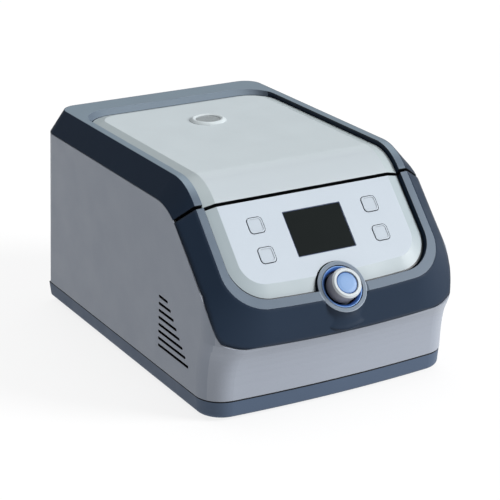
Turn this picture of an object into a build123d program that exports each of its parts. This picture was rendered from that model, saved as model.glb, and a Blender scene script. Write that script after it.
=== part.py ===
from build123d import *
import os
from math import sin, cos, tan, radians, degrees, sqrt, atan2

# Bench micro-centrifuge, millimetres.  X to the right, Y to the back, Z up, bench at z = 0.
# The control panel faces -Y.  The origin is on the bench under the middle of the whole machine.

# ---------------------------------------------------------------- driving dimensions
Y0 = 15.0            # the casing is laid out about a point this far behind the origin
HW = 140.0           # half width of the casing
WALL = 3.0           # casing wall
SAG = 7.06           # bow of the front, seen from above
Z_SEAM = 22.0        # lower edge of the silver housing
Z_SIDE = 199.0       # upper edge of the silver housing
Y_REAR = Y0 + 187.0  # rear wall
RR_LOW, RR_TOP = 6.0, 26.0    # rear corner radius at the seam and under the lid

Z_RIM = 220.6        # top of the rim of the lid
TH = 47.11           # slope of the control panel below the horizontal
YG, ZG = Y0 - 128.7, 198.29   # control panel plane at the gap below the lid
R_SH = 55.0          # radius of the shoulder between the top and the slope
D_RIM = 1.7          # rim above the middle of the panels
GAP = 1.6            # half of the gap between lid and front
X_CR = 121.0         # half width at the crease of the rim
X_IN = 112.5         # half width at the inner edge of the rim
DX, DZ = 19.0, 21.0  # width and height of the sloping dark band

ROT_Y = Y0 + 68.0    # rotor axis
AX_Y, AX_Z = Y0 + 179.0, 208.5   # lid hinge axis
Z_DECK = 191.0       # top of the chamber deck

PHI = 39.5           # elevation of the knob axis
KY, KZ = Y0 - 202.1, 121.3       # middle of the knob ring face
D_ST = 1.2           # thickness of the trim strips
O_EDGE = -3.3        # edge of the control panel, above its middle

s, c = sin(radians(TH)), cos(radians(TH))
KS, KCO = sin(radians(PHI)), cos(radians(PHI))
SH_Z = Z_RIM - R_SH
_t = (Z_RIM - (ZG + D_RIM * c)) / s
SH_Y = YG - D_RIM * s + _t * c + R_SH * tan(radians(TH / 2))


def FP(o=0.0):
    """Plane of the control panel raised by o; local x = X, local y up the slope from the gap."""
    return Plane(origin=(0, YG - s * o, ZG + c * o), x_dir=(1, 0, 0), z_dir=(0, -s, c))


def KP(h=0.0):
    """Plane of the knob ring raised by h along the knob axis."""
    return Plane(origin=(0, KY - KCO * h, KZ + KS * h), x_dir=(1, 0, 0), z_dir=(0, -KCO, KS))


def side(x=0.0):
    """Side view at x: local x = Y, local y = Z, extrudes towards +X."""
    return Plane(origin=(x, 0, 0), x_dir=(0, 1, 0), z_dir=(1, 0, 0))


def zp(z):
    return Plane.XY.offset(z)


os.makedirs("parts", exist_ok=True)


def save(builder, name):
    builder.part.label = name
    export_step(builder.part, "parts/" + name + ".step")


# ---------------------------------------------------------------- outlines
def outline(hw, yf, sag, rc, yb):
    """Bowed front edge at y = yf, straight sides at +-hw, round front corners, straight back edge at yb."""
    R = (hw * hw + sag * sag) / (2 * sag)
    cy = yf + R
    xc = hw - rc
    yc = cy - sqrt((R - rc) ** 2 - xc ** 2)
    ux, uy = xc / (R - rc), (yc - cy) / (R - rc)
    tx, ty = R * ux, cy + R * uy
    a = atan2(uy, ux) / 2
    mx, my = xc + rc * cos(a), yc + rc * sin(a)
    with BuildLine() as ln:
        Line((-hw, yb), (-hw, yc))
        ThreePointArc((-hw, yc), (-mx, my), (-tx, ty))
        ThreePointArc((-tx, ty), (0, yf), (tx, ty))
        ThreePointArc((tx, ty), (mx, my), (hw, yc))
        Line((hw, yc), (hw, yb))
        Line((hw, yb), (-hw, yb))
    make_face(ln.edges())


def rear_outline(hw, ya, yb, r):
    """Round corners at the back, y = yb, square ones at y = ya."""
    k = r * (1 - 1 / sqrt(2))
    with BuildLine() as ln:
        Line((-hw, ya), (-hw, yb - r))
        ThreePointArc((-hw, yb - r), (-hw + k, yb - k), (-hw + r, yb))
        Line((-hw + r, yb), (hw - r, yb))
        ThreePointArc((hw - r, yb), (hw - k, yb - k), (hw, yb - r))
        Line((hw, yb - r), (hw, ya))
        Line((hw, ya), (-hw, ya))
    make_face(ln.edges())


def polygon(*pts):
    with BuildLine() as ln:
        Polyline(*pts, close=True)
    make_face(ln.edges())


def slope_pt(d, v, dz=0.0):
    """Side-view point d below the rim surface and v down the slope from the gap."""
    o = D_RIM - d
    return (YG - s * o - v * c, ZG + c * o - v * s + dz)


def top_curve(d, dz=0.0):
    """Start, middle and end of the shoulder arc, d below the rim surface."""
    r = R_SH - d
    a = radians(TH / 2)
    return ((SH_Y, SH_Z + r + dz), (SH_Y - r * sin(a), SH_Z + r * cos(a) + dz), (SH_Y - r * s, SH_Z + r * c + dz))


def band_face(d1, z1, d2, z2, yr, v):
    """Side-view face between two copies of the rim curve, from y = yr over the shoulder to v on the slope."""
    a, am, b = top_curve(d1, z1)
    e, em, f = top_curve(d2, z2)
    with BuildLine() as ln:
        Line((yr, Z_RIM - d1 + z1), a)
        ThreePointArc(a, am, b)
        Line(b, slope_pt(d1, v, z1))
        Line(slope_pt(d1, v, z1), slope_pt(d2, v, z2))
        Line(slope_pt(d2, v, z2), f)
        ThreePointArc(f, em, e)
        Line(e, (yr, Z_RIM - d2 + z2))
        Line((yr, Z_RIM - d2 + z2), (yr, Z_RIM - d1 + z1))
    make_face(ln.edges())


# The gap between lid and front runs down and back from the panel plane.
GA = radians(58.6)
gy, gz = cos(GA), -sin(GA)


def gap_pt(t, off=0.0):
    return (YG + gy * t - off * sin(GA), ZG + gz * t - off * cos(GA))


def behind_gap(off):
    """Everything behind the line lying off in front of the middle of the gap."""
    polygon(gap_pt(-40, off), gap_pt(90, off), (400, gap_pt(90, off)[1]), (400, gap_pt(-40, off)[1]))


def ahead_of_gap(off):
    polygon(gap_pt(-60, off), gap_pt(230, off), (-400, gap_pt(230, off)[1]), (-400, gap_pt(-60, off)[1]))


# Edge of the silver housing in the side view, from the slope down to the chin.
CHIN = [(Y0 - 150, 156.3), (Y0 - 176, 128.3), (Y0 - 185, 113), (Y0 - 190, 101.5), (Y0 - 193.5, 93.0),
        (Y0 - 197, 87.0), (Y0 - 204.5, 81.2), (Y0 - 208.3, 79.2), (Y0 - 211, 76.8), (Y0 - 226, 76.0)]


def edge_region(above, dz, k):
    """Side-view region above or below the edge between the silver housing and the dark parts."""
    a, am, b = top_curve(0, dz - DZ)
    pts = [(y - 0.5 * k, z + k) for y, z in CHIN]
    zf = 300 if above else -50
    with BuildLine() as ln:
        Line((400, a[1]), a)
        ThreePointArc(a, am, b)
        Polyline(b, *pts, (Y0 - 300, pts[-1][1]), (Y0 - 300, zf), (400, zf), (400, a[1]))
    make_face(ln.edges())


# ================================================================ casing
with BuildPart() as base_tray:
    with BuildSketch(zp(21.2)):
        outline(139.7, Y0 - 195.0, SAG, 28.4, Y_REAR - 0.3)
    extrude(amount=-18.2, taper=5)
    fillet(base_tray.faces().sort_by(Axis.Z)[0].edges(), 4.5)
    with BuildSketch(zp(6)):
        outline(133.5, Y0 - 188.5, 6.8, 25, Y_REAR - 6)
    extrude(amount=20, mode=Mode.SUBTRACT)
    # bosses for the case screws, the motor dampers and the boards
    with BuildSketch(zp(5)):
        with Locations(*[(x, Y0 + y) for x in (-126, 126) for y in (-140, 20, 165)]):
            Circle(6)
    extrude(amount=16.2)
    with BuildSketch(zp(5)):
        with Locations(*[(x, ROT_Y + y) for x in (-48, 48) for y in (-48, 48)]):
            Circle(11)
    extrude(amount=9)
    with Locations(*[(x, Y0 + y, 3) for x in (-126, 126) for y in (-140, 20, 165)]):
        Hole(2.3, 60)
    with BuildSketch(zp(3)):
        with Locations(*[(x, Y0 + y) for x in (-126, 126) for y in (-140, 20, 165)]):
            Circle(4.3)
    extrude(amount=3, mode=Mode.SUBTRACT)
save(base_tray, "base_tray")

FEET = [(x, y) for x in (-104, 104) for y in (Y0 - 158, Y0 + 150)]
with BuildPart() as rubber_feet:
    with BuildSketch(zp(3)):
        with Locations(*FEET):
            Circle(13)
    extrude(amount=-3, taper=8)
save(rubber_feet, "rubber_feet")


def flare(levels, grow=0.0):
    """Loft of bowed outlines; each level is (z, front y, corner radius)."""
    faces = []
    for z, yf, rc in levels:
        with BuildSketch(zp(z)) as sk:
            outline(HW - grow, yf + grow, SAG * (1 - grow / 400), rc - grow, 0)
        faces += sk.sketch.faces()
    loft(faces, ruled=True)


LEV = [(22, Y0 - 195.2, 28.4), (37, Y0 - 196.2, 28.5), (47, Y0 - 197.5, 28.9), (54, Y0 - 198.9, 29.5), (61, Y0 - 200.9, 30.3),
       (67, Y0 - 203.2, 31.2), (72, Y0 - 206.2, 32.6), (76, Y0 - 209.2, 34.0), (84, Y0 - 213.0, 34.5)]

with BuildPart() as shell_out:
    flare(LEV)
    with BuildSketch(zp(84)):
        outline(HW, Y0 - 213.0, SAG, 34.5, 0)
    extrude(amount=120)
with BuildPart() as shell_in:
    flare([(z - (0.5 if i == 0 else 0), yf, rc) for i, (z, yf, rc) in enumerate(LEV)], WALL)
    with BuildSketch(zp(84)):
        outline(HW - WALL, Y0 - 213.0 + WALL, SAG, 34.5 - WALL, 0)
    extrude(amount=120)
with BuildPart() as rear_out:
    with BuildSketch(zp(Z_SEAM)):
        rear_outline(HW, 0, Y_REAR, RR_LOW)
    with BuildSketch(zp(Z_SIDE)):
        rear_outline(HW, 0, Y_REAR, RR_TOP)
    loft(ruled=True)
with BuildPart() as rear_in:
    with BuildSketch(zp(Z_SEAM - 1)):
        rear_outline(HW - WALL, 0, Y_REAR - WALL, RR_LOW - 2)
    with BuildSketch(zp(Z_SIDE + 1)):
        rear_outline(HW - WALL, 0, Y_REAR - WALL, RR_TOP - WALL)
    loft(ruled=True)

# ventilation slots: rear and front end of each, (y, z)
SLOTS = [((-87.9, 99.7), (-106.9, 98.9)), ((-87.2, 91.9), (-113.1, 91.4)), ((-86.9, 84.3), (-118.9, 83.9)),
         ((-86.2, 76.7), (-124.7, 76.1)), ((-85.7, 69.0), (-130.9, 68.5)), ((-84.9, 61.4), (-136.6, 61.0)),
         ((-84.4, 53.8), (-142.6, 53.5)), ((-83.9, 46.2), (-148.3, 45.9))]
INLET_X, INLET_Z = 78.0, 52.0      # mains inlet in the rear wall
ROCK_X, ROCK_Z = 112.0, 52.0       # power switch in the rear wall

with BuildPart() as housing_shell:
    add(shell_out.part)
    add(rear_out.part)
    add(shell_in.part, mode=Mode.SUBTRACT)
    add(rear_in.part, mode=Mode.SUBTRACT)
    with BuildSketch(side(-200)):
        edge_region(False, -0.6, 0)
    extrude(amount=400, mode=Mode.INTERSECT)
    # the rear edge drops a little to let the lid swing
    with BuildSketch(side(-200)):
        polygon((Y0 + 178, Z_SIDE + 0.1), (Y_REAR + 5, Z_SIDE - 5), (Y_REAR + 5, Z_SIDE + 5), (Y0 + 178, Z_SIDE + 5))
    extrude(amount=400, mode=Mode.SUBTRACT)
    for (ya, za), (yb, zb) in SLOTS:
        L = sqrt((ya - yb) ** 2 + (za - zb) ** 2)
        with BuildSketch(side(-200)):
            with Locations(Location((Y0 + (ya + yb) / 2, (za + zb) / 2), degrees(atan2(za - zb, ya - yb)))):
                SlotOverall(L, 3.0)
        extrude(amount=400, mode=Mode.SUBTRACT)
    # rear wall: mains inlet, power switch and a block of ventilation slots
    with BuildSketch(Plane(origin=(0, Y_REAR - 10, 0), x_dir=(1, 0, 0), z_dir=(0, 1, 0))):
        with Locations((INLET_X, -INLET_Z)):
            Rectangle(27.4, 31.4)
        with Locations((ROCK_X, -ROCK_Z)):
            Rectangle(13.4, 19.4)
        with Locations((-45, -60)):
            with GridLocations(46, 8, 2, 7):
                SlotOverall(40, 3)
    extrude(amount=20, mode=Mode.SUBTRACT)
    # ledges that carry the chamber deck
    for x in (-1, 1):
        with BuildSketch(zp(Z_DECK - 3)):
            with Locations(((HW - WALL - 3.5) * x, Y0 + 30)):
                Rectangle(7.1, 260)
        extrude(amount=-4)
    # lugs for the case screws
    with BuildSketch(zp(Z_SEAM)):
        with Locations(*[(x, Y0 + y) for x in (-130.1, 130.1) for y in (-140, 20, 165)]):
            Rectangle(14.2, 14)
    extrude(amount=16)
    with Locations(*[(x, Y0 + y, Z_SEAM + 16) for x in (-126, 126) for y in (-140, 20, 165)]):
        Hole(2.0, 60)
save(housing_shell, "housing_shell")

SCREW_XY = [(x, Y0 + y) for x in (-126, 126) for y in (-140, 20, 165)]
with BuildPart() as case_screws:
    with BuildSketch(zp(6)):
        with Locations(*SCREW_XY):
            Circle(3.8)
    extrude(amount=-2.6)
    with BuildSketch(zp(6)):
        with Locations(*SCREW_XY):
            Circle(1.95)
    extrude(amount=28)
save(case_screws, "case_screws")


# ================================================================ front
DP = DZ * c          # drop of the band square to the panel plane, for a growth of DX


def panel(hw, v, bow, rc, vb=-40.0):
    """Outline in the panel plane: half width, lowest point v down the slope, bow radius and corner radius."""
    outline(hw, -v, bow - sqrt(bow * bow - hw * hw), rc, -vb)


def spread(o1, o2, inset=0.0, vb=-60.0):
    """Solid inside the crease surface from height o1 down to o2 above the panel plane, inset in the plane."""
    faces = []
    for o in (o1, o2):
        g = (D_RIM - o) * DX / DP - inset
        with BuildSketch(FP(o)) as sk:
            panel(X_CR + g, 116.7 + g, 1215 + g, 42 + g, vb)
        faces += sk.sketch.faces()
    loft(faces, ruled=True)


KAX = Plane(origin=(0, KY, KZ), x_dir=(1, 0, 0), z_dir=(0, -KS, -KCO))   # local x = radius, local y = along the knob axis
K_AXIS = Axis((0, KY, KZ), (0, -KCO, KS))

with BuildPart() as chin_out:
    with BuildSketch(zp(70)):
        outline(HW, Y0 - 208.4, SAG, 34.5, 30)
    with BuildSketch(zp(84)):
        outline(HW, Y0 - 213.5, SAG, 34.5, 30)
    loft(ruled=True)
    with BuildSketch(zp(84)):
        outline(HW, Y0 - 213.5, SAG, 34.5, 30)
    extrude(amount=140)
with BuildPart() as ring_dish:
    # the dark part and the trim strip fall away to the ring round the knob
    with BuildSketch(KAX):
        with BuildLine():
            Polyline((0, -0.6), (26.25, -0.6), (26.25, 0), (31, 1.9), (31, 40), (0, 40), close=True)
        make_face()
    revolve(axis=K_AXIS)
with BuildPart() as ring_foot:
    # the ring stands on a foot that runs out into the front
    with BuildSketch(KAX):
        with BuildLine():
            Polyline((21.6, -0.6), (26.2, -0.6), (26.5, -2.6), (27.3, -5.2), (28.9, -8.0), (31.4, -10.6), (34.8, -12.8),
                     (39.0, -14.4), (39.0, -16), (21.6, -16), close=True)
        make_face()
    revolve(axis=K_AXIS)
    with BuildSketch(FP(-40)):
        with Locations((0, -150)):
            Rectangle(120, 70)
    extrude(amount=60, mode=Mode.INTERSECT)
with BuildPart() as bezel_out:
    spread(D_RIM, D_RIM - 3 * DP)
    add(chin_out.part, mode=Mode.INTERSECT)
    with BuildSketch(KP(-50)):
        Circle(23)
    extrude(amount=90, mode=Mode.SUBTRACT)
    add(ring_dish.part, mode=Mode.SUBTRACT)
    with BuildSketch(side(-200)):
        edge_region(True, 0, 0.8)
    extrude(amount=400, mode=Mode.INTERSECT)
    with BuildSketch(side(-200)):
        behind_gap(GAP)
    extrude(amount=400, mode=Mode.SUBTRACT)
with BuildPart() as bezel_in:
    spread(-7.3, D_RIM - 3.2 * DP, 5.0)
    with BuildSketch(zp(40)):
        outline(HW - 3, Y0 - 210.5, SAG, 31.5, 30)
    extrude(amount=180, mode=Mode.INTERSECT)
    with BuildSketch(side(-200)):
        behind_gap(GAP + 3)
    extrude(amount=400, mode=Mode.SUBTRACT)
with BuildPart() as knob_cup:
    with BuildSketch(KAX):
        with BuildLine():
            Polyline((26.2, -0.6), (21.6, -0.6), (21.6, -9.5), (3.6, -9.5), (3.6, -12), (19.5, -12), (17.5, -24),
                     (20.5, -24), close=True)
        make_face()
    revolve(axis=K_AXIS)
with BuildPart() as front_bezel:
    add(bezel_out.part)
    add(bezel_in.part, mode=Mode.SUBTRACT)
    add(ring_foot.part)
    # seat of the trim strip and the control panel, and the window behind the panel
    with BuildSketch(FP(D_RIM - D_ST)):
        panel(X_CR - 0.5, 116.2, 1215, 41.5)
    extrude(amount=10, mode=Mode.SUBTRACT)
    with BuildSketch(FP(O_EDGE - 2)):
        panel(X_IN, 106.9, 1215, 38)
    extrude(amount=10, mode=Mode.SUBTRACT)
    with BuildSketch(FP(-20)):
        panel(X_IN - 8, 98, 1215, 30, 6)
    extrude(amount=20, mode=Mode.SUBTRACT)
    add(knob_cup.part)
save(front_bezel, "front_bezel")

with BuildPart() as fascia_trim:
    with BuildSketch(FP(D_RIM - D_ST)):
        panel(X_CR - 0.5, 116.2, 1215, 41.5)
    extrude(amount=D_ST)
    with BuildSketch(FP(-2)):
        panel(X_IN, 106.9, 1215, 38, -41)
    extrude(amount=5, mode=Mode.SUBTRACT)
    with BuildSketch(side(-200)):
        behind_gap(GAP)
    extrude(amount=400, mode=Mode.SUBTRACT)
    with BuildSketch(KAX):
        with BuildLine():
            Polyline((0, -20), (24.8, -20), (24.8, 0), (26.25, 0), (31, 1.9), (31, 40), (0, 40), close=True)
        make_face()
    revolve(axis=K_AXIS, mode=Mode.SUBTRACT)
    with BuildSketch(KP(-20)):
        Circle(26.25)
    extrude(amount=19.5, mode=Mode.SUBTRACT)
    with BuildSketch(KAX):
        with BuildLine():
            Polyline((21.6, -0.6), (26.2, -0.6), (26.2, -0.4), (25.4, 0), (22.0, 0), (21.6, -0.3), close=True)
        make_face()
    revolve(axis=K_AXIS)
save(fascia_trim, "fascia_trim")

U_BTN, V_BTN = (-65.0, 65.0), (27.8, 59.6)
BTN = [(u, -v) for u in U_BTN for v in V_BTN]
V_LCD = 43.8
with BuildPart() as control_fascia:
    with BuildSketch(FP(O_EDGE)):
        panel(111, 105.4, 1215, 36.5)
    with BuildSketch(FP(0)):
        panel(98, 90.5, 1215, 25)
    loft(ruled=True)
    with BuildSketch(FP(O_EDGE - 2)):
        panel(111, 105.4, 1215, 36.5)
    extrude(amount=2)
    with BuildSketch(FP(O_EDGE - 3)):
        panel(97.5, 90, 1215, 24.5)
    extrude(amount=-1 - O_EDGE - 0.0, mode=Mode.SUBTRACT)
    with BuildSketch(side(-200)):
        behind_gap(GAP)
    extrude(amount=400, mode=Mode.SUBTRACT)
    with BuildSketch(KP(-20)):
        Circle(27.4)
    extrude(amount=50, mode=Mode.SUBTRACT)
    with BuildSketch(FP(-10)):
        with Locations((0, -V_LCD)):
            RectangleRounded(65.8, 48.9, 0.8)
        with Locations(*BTN):
            RectangleRounded(17.5, 17.5, 4.4)
    extrude(amount=20, mode=Mode.SUBTRACT)
    # posts for the control board
    with BuildSketch(FP(-4)):
        with Locations(*[(u, -v) for u in (-88, 88) for v in (18, 70)]):
            Circle(3.5)
    extrude(amount=-12)
    with BuildSketch(FP(-16)):
        with Locations(*[(u, -v) for u in (-88, 88) for v in (18, 70)]):
            Circle(1.3)
    extrude(amount=9, mode=Mode.SUBTRACT)
save(control_fascia, "control_fascia")

with BuildPart() as display_lens:
    with BuildSketch(FP(-2.5)):
        with Locations((0, -V_LCD)):
            RectangleRounded(65.6, 48.7, 0.7)
    extrude(amount=2.2)
save(display_lens, "display_lens")
with BuildPart() as display_module:
    with BuildSketch(FP(-10)):
        with Locations((0, -V_LCD)):
            Rectangle(74, 56)
    extrude(amount=6)
    with BuildSketch(FP(-4)):
        with Locations((0, -V_LCD)):
            Rectangle(62, 45)
    extrude(amount=1.5)
    with BuildSketch(FP(-16)):
        with Locations((0, -V_LCD)):
            Rectangle(60, 40)
    extrude(amount=6)
save(display_module, "display_module")
with BuildPart() as control_board:
    with BuildSketch(FP(-17.6)):
        with Locations((0, -44)):
            Rectangle(190, 72)
        with Locations(*[(u, -v) for u in (-88, 88) for v in (18, 70)]):
            Circle(1.6, mode=Mode.SUBTRACT)
    extrude(amount=1.6)
save(control_board, "control_board")
with BuildPart() as board_screws:
    with BuildSketch(FP(-17.6)):
        with Locations(*[(u, -v) for u in (-88, 88) for v in (18, 70)]):
            Circle(2.8)
    extrude(amount=-1.8)
    with BuildSketch(FP(-17.6)):
        with Locations(*[(u, -v) for u in (-88, 88) for v in (18, 70)]):
            Circle(1.25)
    extrude(amount=8)
save(board_screws, "board_screws")
with BuildPart() as tact_switches:
    with BuildSketch(FP(-16)):
        with Locations(*BTN):
            Rectangle(12, 12)
    extrude(amount=4)
    with BuildSketch(FP(-12)):
        with Locations(*BTN):
            Circle(3.4)
    extrude(amount=1.0)
save(tact_switches, "tact_switches")

NAMES = ["button_left_upper", "button_left_lower", "button_right_upper", "button_right_lower"]
for name, at in zip(NAMES, BTN):
    with BuildPart() as button:
        with BuildSketch(FP(-5)):
            with Locations(at):
                RectangleRounded(16.3, 16.3, 3.8)
        extrude(amount=5.7)
        fillet(button.faces().sort_by(Axis(FP().origin, FP().z_dir))[-1].edges(), 0.7)
        with BuildSketch(FP(0.35)):
            with Locations(at):
                RectangleRounded(12.8, 12.8, 2.4)
        extrude(amount=5, mode=Mode.SUBTRACT)
        with BuildSketch(FP(-5.9)):
            with Locations(at):
                RectangleRounded(19.4, 19.4, 4.6)
        extrude(amount=1.5)
        with BuildSketch(FP(-9.9)):
            with Locations(at):
                Circle(3)
        extrude(amount=4)
    save(button, name)

# ---------------------------------------------------------------- knob
H_K = 11.2           # knob face above the ring
with BuildPart() as knob_light_ring:
    with BuildSketch(KAX):
        with BuildLine():
            Polyline((21.3, -9.5), (21.3, -0.8), (20.7, -0.4), (20.0, -0.8), (17.3, -4.2), (17.3, -9.5), close=True)
        make_face()
    revolve(axis=K_AXIS)
save(knob_light_ring, "knob_light_ring")
with BuildPart() as encoder_body:
    with BuildSketch(KP(-12)):
        Rectangle(14, 14)
    extrude(amount=-8)
    with BuildSketch(KP(-12)):
        Circle(3.5)
    extrude(amount=5.5)
    with BuildSketch(KP(-9.5)):
        RegularPolygon(6, 6)
        Circle(3.5, mode=Mode.SUBTRACT)
    extrude(amount=1.6)
    with BuildSketch(KP(-18)):
        Circle(2.05)
    extrude(amount=40, mode=Mode.SUBTRACT)
save(encoder_body, "encoder_body")
with BuildPart() as knob_plunger:
    with BuildSketch(KP(-16.5)):
        Circle(2.0)
    extrude(amount=24.5)
save(knob_plunger, "knob_plunger")
with BuildPart() as knob_shell:
    with BuildSketch(KAX):
        with BuildLine():
            Polyline((2.05, -4.2), (6, -4.2), (6, 6.6), (13.2, 6.6), (13.2, -4.2), (15.7, -4.2), (15.7, H_K - 1.8), (14.0, H_K),
                     (11.6, H_K), (11.3, H_K - 1.2), (11.3, H_K - 2.6), (2.05, H_K - 2.6), close=True)
        make_face()
    revolve(axis=K_AXIS)
save(knob_shell, "knob_shell")
with BuildPart() as knob_cap:
    with BuildSketch(KAX):
        with BuildLine():
            Polyline((0, H_K - 2.6), (11.2, H_K - 2.6), (11.2, H_K - 1.6), (10.4, H_K - 1.1), (7.0, H_K - 0.85), (0, H_K - 0.8), close=True)
        make_face()
    revolve(axis=K_AXIS)
save(knob_cap, "knob_cap")

# ================================================================ lid
YS = 60.0            # the rear part of the lid starts here, in its flat stretch
D_EDGE, D_PAN, D_SLAB = 5.0, 7.0, 8.6     # depths below the rim: edge of the panel, under the panel, under the frame
Y_BLK = Y0 + 128.0   # behind this the trim goes down to the edge of the panel
LB = sqrt(DX * DX + DZ * DZ)


def cut_ahead():
    with BuildSketch(side(-200)) as sk:
        ahead_of_gap(-GAP)
    extrude(sk.sketch, amount=400, mode=Mode.SUBTRACT)


def over_shoulder(hw, d1, d2, mode=Mode.ADD):
    """Slab of half width hw between depths d1 and d2, from YS over the shoulder past the gap."""
    with BuildSketch(side(-hw)) as sk:
        band_face(d1, 0, d2, 0, YS, 14)
    extrude(sk.sketch, amount=2 * hw, mode=mode)


with BuildPart() as lid_band:
    with BuildSketch(side(X_CR)):
        band_face(0, 0, 0, -5, YS, 30)
    extrude(amount=LB, dir=(DX, 0, -DZ))
    with BuildSketch(side(100)):
        edge_region(True, 0, 0)
    extrude(amount=100, mode=Mode.INTERSECT)
with BuildPart() as lid_rear:
    with BuildSketch(zp(Z_RIM)):
        rear_outline(X_CR, YS, Y0 + 186, 19)
    with BuildSketch(zp(Z_RIM - DZ)):
        rear_outline(X_CR + DX, YS, Y_REAR, RR_TOP)
    loft(ruled=True)
with BuildPart() as lid_hollow:
    with BuildSketch(zp(Z_RIM - D_SLAB)):
        rear_outline(X_CR + 3.3, YS - 1, Y_REAR - 3, 20)
    with BuildSketch(zp(Z_RIM - DZ - 1)):
        rear_outline(X_CR + DX - 3.6, YS - 1, Y_REAR - 3, 23)
    loft(ruled=True)
HX = 95.0            # the two hinges
POSTS = [(x, Y0 + y) for x in (-113, 113) for y in (-70, 40, 135)]
with BuildPart() as lid_frame:
    over_shoulder(X_CR, 0, D_SLAB)
    add(lid_band.part)
    add(mirror(lid_band.part, Plane.YZ))
    add(lid_rear.part)
    add(lid_hollow.part, mode=Mode.SUBTRACT)
    # seat of the trim
    with BuildSketch(zp(Z_RIM - D_ST)):
        rear_outline(X_CR - 0.5, YS - 0.1, Y0 + 185.5, 18.5)
    extrude(amount=10, mode=Mode.SUBTRACT)
    over_shoulder(X_CR - 0.5, -6, D_ST, Mode.SUBTRACT)
    with BuildSketch(zp(Z_RIM - D_EDGE)):
        rear_outline(X_CR - 0.5, Y_BLK, Y0 + 182, 18.5)
    extrude(amount=10, mode=Mode.SUBTRACT)
    # seat of the lid panel and the window below it
    with BuildSketch(zp(Z_RIM - D_PAN)):
        rear_outline(X_IN, YS - 0.1, Y0 + 147.5, 34.5)
    extrude(amount=10, mode=Mode.SUBTRACT)
    over_shoulder(X_IN, -6, D_PAN, Mode.SUBTRACT)
    with BuildSketch(zp(Z_RIM - D_SLAB - 2)):
        rear_outline(X_IN - 8, YS - 0.1, Y0 + 139.5, 27)
    extrude(amount=12, mode=Mode.SUBTRACT)
    with BuildSketch(side(-X_IN + 8)):
        with BuildLine():
            a, am, b = top_curve(-6)
            e, em, f = top_curve(D_SLAB + 2)
            Line((YS, Z_RIM + 6), a)
            ThreePointArc(a, am, b)
            Line(b, f)
            ThreePointArc(f, em, e)
            Line(e, (YS, Z_RIM - D_SLAB - 2))
            Line((YS, Z_RIM - D_SLAB - 2), (YS, Z_RIM + 6))
        make_face()
    extrude(amount=2 * (X_IN - 8), mode=Mode.SUBTRACT)
    cut_ahead()
    # posts of the liner
    with BuildSketch(zp(Z_RIM - D_SLAB + 1)):
        with Locations(*POSTS):
            Circle(4.5)
    extrude(amount=-(Z_RIM - D_SLAB + 1 - 204.5))
    # the rear edge rises and the rear wall is open at the hinges
    with BuildSketch(side(-200)):
        polygon((Y0 + 178, Z_RIM - DZ - 0.1), (Y_REAR + 5, 206.1), (Y_REAR + 5, 190), (Y0 + 178, 190))
    extrude(amount=400, mode=Mode.SUBTRACT)
    with BuildSketch(zp(190)):
        with Locations((-HX, Y_REAR), (HX, Y_REAR)):
            Rectangle(20.4, 20)
    extrude(amount=Z_RIM - D_SLAB + 0.0 - 190, mode=Mode.SUBTRACT)
    with Locations(*[(x, y, 204.5) for x, y in POSTS]):
        Hole(1.5, 9)
save(lid_frame, "lid_frame")

with BuildPart() as rim_opening:
    # the rear of the rim slopes down to the panel
    with BuildSketch(zp(Z_RIM - D_EDGE)):
        rear_outline(X_IN, YS - 0.1, Y0 + 147.5, 34.5)
    with BuildSketch(zp(Z_RIM)):
        rear_outline(X_IN, YS - 0.1, Y0 + 155.5, 35.5)
    loft(ruled=True)
with BuildPart() as lid_trim:
    over_shoulder(X_CR - 0.5, 0, D_ST)
    with BuildSketch(zp(Z_RIM - D_ST)):
        rear_outline(X_CR - 0.5, YS, Y0 + 185.5, 18.5)
    extrude(amount=D_ST)
    with BuildSketch(zp(Z_RIM - D_EDGE)):
        rear_outline(X_CR - 0.5, Y_BLK, Y0 + 182, 18.5)
    extrude(amount=D_EDGE)
    add(rim_opening.part, mode=Mode.SUBTRACT)
    over_shoulder(X_IN, -6, D_EDGE + 1, Mode.SUBTRACT)
    cut_ahead()
save(lid_trim, "lid_trim")

R_GLASS = 16.5
with BuildPart() as lid_panel:
    with BuildSketch(zp(Z_RIM - D_PAN)):
        rear_outline(111, SH_Y, Y0 + 146, 33)
    extrude(amount=D_PAN - D_EDGE)
    with BuildSketch(zp(Z_RIM - D_EDGE)):
        rear_outline(111, SH_Y, Y0 + 146, 33)
    with BuildSketch(zp(Z_RIM - D_RIM)):
        rear_outline(98, SH_Y, Y0 + 133, 20)
    loft(ruled=True)
    with BuildSketch(Plane(origin=(0, SH_Y, 0), x_dir=(1, 0, 0), z_dir=(0, -1, 0))):
        polygon((-111, Z_RIM - D_PAN), (111, Z_RIM - D_PAN), (111, Z_RIM - D_EDGE), (98, Z_RIM - D_RIM), (-98, Z_RIM - D_RIM),
                (-111, Z_RIM - D_EDGE))
    revolve(axis=Axis((0, SH_Y, SH_Z), (1, 0, 0)), revolution_arc=TH)
    tang = top_curve(0)[2]
    with BuildSketch(Plane(origin=(0, tang[0], tang[1]), x_dir=(1, 0, 0), z_dir=(0, -c, -s))):
        polygon((-111, -D_PAN), (111, -D_PAN), (111, -D_EDGE), (98, -D_RIM), (-98, -D_RIM), (-111, -D_EDGE))
    extrude(amount=14)
    cut_ahead()
    with Locations((0, ROT_Y, Z_RIM)):
        Hole(R_GLASS, 20)
save(lid_panel, "lid_panel")

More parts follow.
